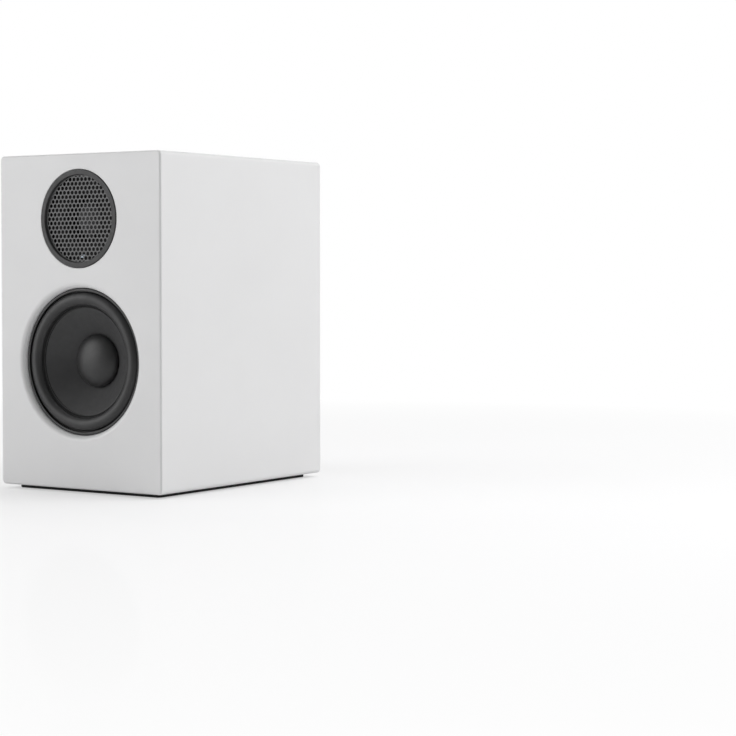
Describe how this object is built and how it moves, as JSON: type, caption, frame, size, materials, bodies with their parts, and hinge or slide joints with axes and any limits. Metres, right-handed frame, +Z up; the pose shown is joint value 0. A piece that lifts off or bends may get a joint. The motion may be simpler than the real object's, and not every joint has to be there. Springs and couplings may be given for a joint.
{
  "type": "bookshelf speaker",
  "caption": "Compact powered two-way bookshelf speaker in white lacquer: recessed woofer, tweeter behind a round perforated grille, rear reflex port and amplifier plate.",
  "frame": {"origin": "centre of the base pad's underside, on the surface the speaker stands on", "axes": "+Z up; the front with the drivers faces -Y; +X is to the right for someone facing the speaker"},
  "size_m": [0.15, 0.2167, 0.243],
  "materials": {
    "white_lacquer": "satin white lacquer over fibreboard",
    "rear_lacquer": "satin white lacquer over fibreboard",
    "pad_rubber": "matt dark grey foam rubber",
    "wadding_fibre": "soft fibre wadding",
    "black_plastic": "fine matt black",
    "knob_plastic": "satin black",
    "bezel_plastic": "satin dark grey",
    "black_steel": "black powder coat",
    "surround_rubber": "satin black rubber",
    "cone_skin": "smooth dark grey cone",
    "cap_skin": "satin dark grey",
    "spider_cloth": "resin-dipped woven cloth",
    "former_film": "amber film",
    "coil_copper": "enamelled copper wire",
    "plated_steel": "zinc plated",
    "ferrite": "ground ceramic ferrite",
    "mesh_metal": "perforated steel, dark grey paint",
    "dome_silk": "coated silk",
    "led_lens": "clear light guide",
    "plate_paint": "fine textured black paint",
    "sink_aluminium": "black anodised",
    "board_resin": "green solder mask",
    "transformer_wrap": "yellow film tape over copper windings",
    "nickel": "nickel plated",
    "post_metal": "gold-coloured plating",
    "red_plastic": "red",
    "lead_sheath": "black sheath"
  },
  "bodies": {
    "cabinet": {"front_baffle": "white_lacquer", "left_side_panel": "white_lacquer", "right_side_panel": "white_lacquer", "top_panel": "white_lacquer", "bottom_panel": "white_lacquer", "rear_panel": "rear_lacquer", "base_pad": "pad_rubber", "damping_wadding": "wadding_fibre", "port_tube": "black_plastic", "woofer_frame": "black_steel", "woofer_trim_ring": "black_plastic", "woofer_surround": "surround_rubber", "woofer_spider": "spider_cloth", "woofer_top_plate": "plated_steel", "woofer_magnet": "ferrite", "woofer_yoke": "plated_steel", "woofer_terminal_strip": "black_plastic", "woofer_screw_1": "plated_steel", "woofer_screw_2": "plated_steel", "woofer_screw_3": "plated_steel", "woofer_screw_4": "plated_steel", "tweeter_faceplate": "bezel_plastic", "tweeter_grille": "mesh_metal", "tweeter_suspension": "dome_silk", "tweeter_top_plate": "plated_steel", "tweeter_magnet": "ferrite", "tweeter_yoke": "plated_steel", "tweeter_clamp_ring": "black_plastic", "status_led": "led_lens", "amp_plate": "plate_paint", "heat_sink": "sink_aluminium", "main_board": "board_resin", "transformer": "transformer_wrap", "volume_pot": "nickel", "power_switch_body": "black_plastic", "mains_inlet": "black_plastic", "input_jack_left": "nickel", "input_jack_right": "nickel", "post_base_red": "post_metal", "post_base_black": "post_metal", "plate_screw_1": "plated_steel", "plate_screw_2": "plated_steel", "plate_screw_3": "plated_steel", "plate_screw_4": "plated_steel", "woofer_lead": "lead_sheath", "tweeter_lead": "lead_sheath"},
    "woofer_diaphragm": {"woofer_cone": "cone_skin", "woofer_dust_cap": "cap_skin", "woofer_coil_former": "former_film", "woofer_voice_coil": "coil_copper"},
    "tweeter_diaphragm": {"tweeter_dome": "dome_silk", "tweeter_voice_coil": "coil_copper"},
    "volume_control": {"volume_knob": "knob_plastic", "volume_shaft": "nickel"},
    "power_rocker_body": {"power_rocker": "knob_plastic"},
    "input_button_body": {"input_button": "knob_plastic"},
    "red_clamp": {"post_washer_red": "post_metal"},
    "red_cap": {"post_cap_red": "red_plastic"},
    "black_clamp": {"post_washer_black": "post_metal"},
    "black_cap": {"post_cap_black": "knob_plastic"}
  },
  "joints": [
    {"name": "woofer_travel", "type": "slide", "parent": "cabinet", "child": "woofer_diaphragm", "axis": [0, -1, 0], "range_m": [-0.004, 0.004], "stiffness_N_per_m": 1100, "deforming": ["woofer_surround", "woofer_spider"]},
    {"name": "tweeter_travel", "type": "slide", "parent": "cabinet", "child": "tweeter_diaphragm", "axis": [0, -1, 0], "range_m": [-0.0003, 0.0003], "stiffness_N_per_m": 900, "deforming": ["tweeter_suspension"]},
    {"name": "volume_turn", "type": "hinge", "parent": "cabinet", "child": "volume_control", "pos_m": [-0.033, 0.0988, 0.135], "axis": [0, -1, 0], "range_deg": [-150, 150]},
    {"name": "power_rocker_tilt", "type": "hinge", "parent": "cabinet", "child": "power_rocker_body", "pos_m": [-0.03, 0.0988, 0.048], "axis": [0, 0, -1], "range_deg": [0, 14]},
    {"name": "input_button_press", "type": "slide", "parent": "cabinet", "child": "input_button_body", "axis": [0, -1, 0], "range_m": [0, 0.0015], "stiffness_N_per_m": 300, "springref_m": -0.002},
    {"name": "red_clamp_travel", "type": "slide", "parent": "cabinet", "child": "red_clamp", "axis": [0, 1, 0], "range_m": [0, 0.003]},
    {"name": "red_cap_turn", "type": "hinge", "parent": "red_clamp", "child": "red_cap", "pos_m": [0.016, 0.0988, 0.086], "axis": [0, 1, 0], "range_deg": [0, 1440]},
    {"name": "black_clamp_travel", "type": "slide", "parent": "cabinet", "child": "black_clamp", "axis": [0, 1, 0], "range_m": [0, 0.003]},
    {"name": "black_cap_turn", "type": "hinge", "parent": "black_clamp", "child": "black_cap", "pos_m": [0.038, 0.0988, 0.086], "axis": [0, 1, 0], "range_deg": [0, 1440]}
  ],
  "couplings": [
    {"joint": "red_cap_turn", "follows": "red_clamp_travel", "rad_per_m": 8377.6},
    {"joint": "black_cap_turn", "follows": "black_clamp_travel", "rad_per_m": 8377.6}
  ]
}
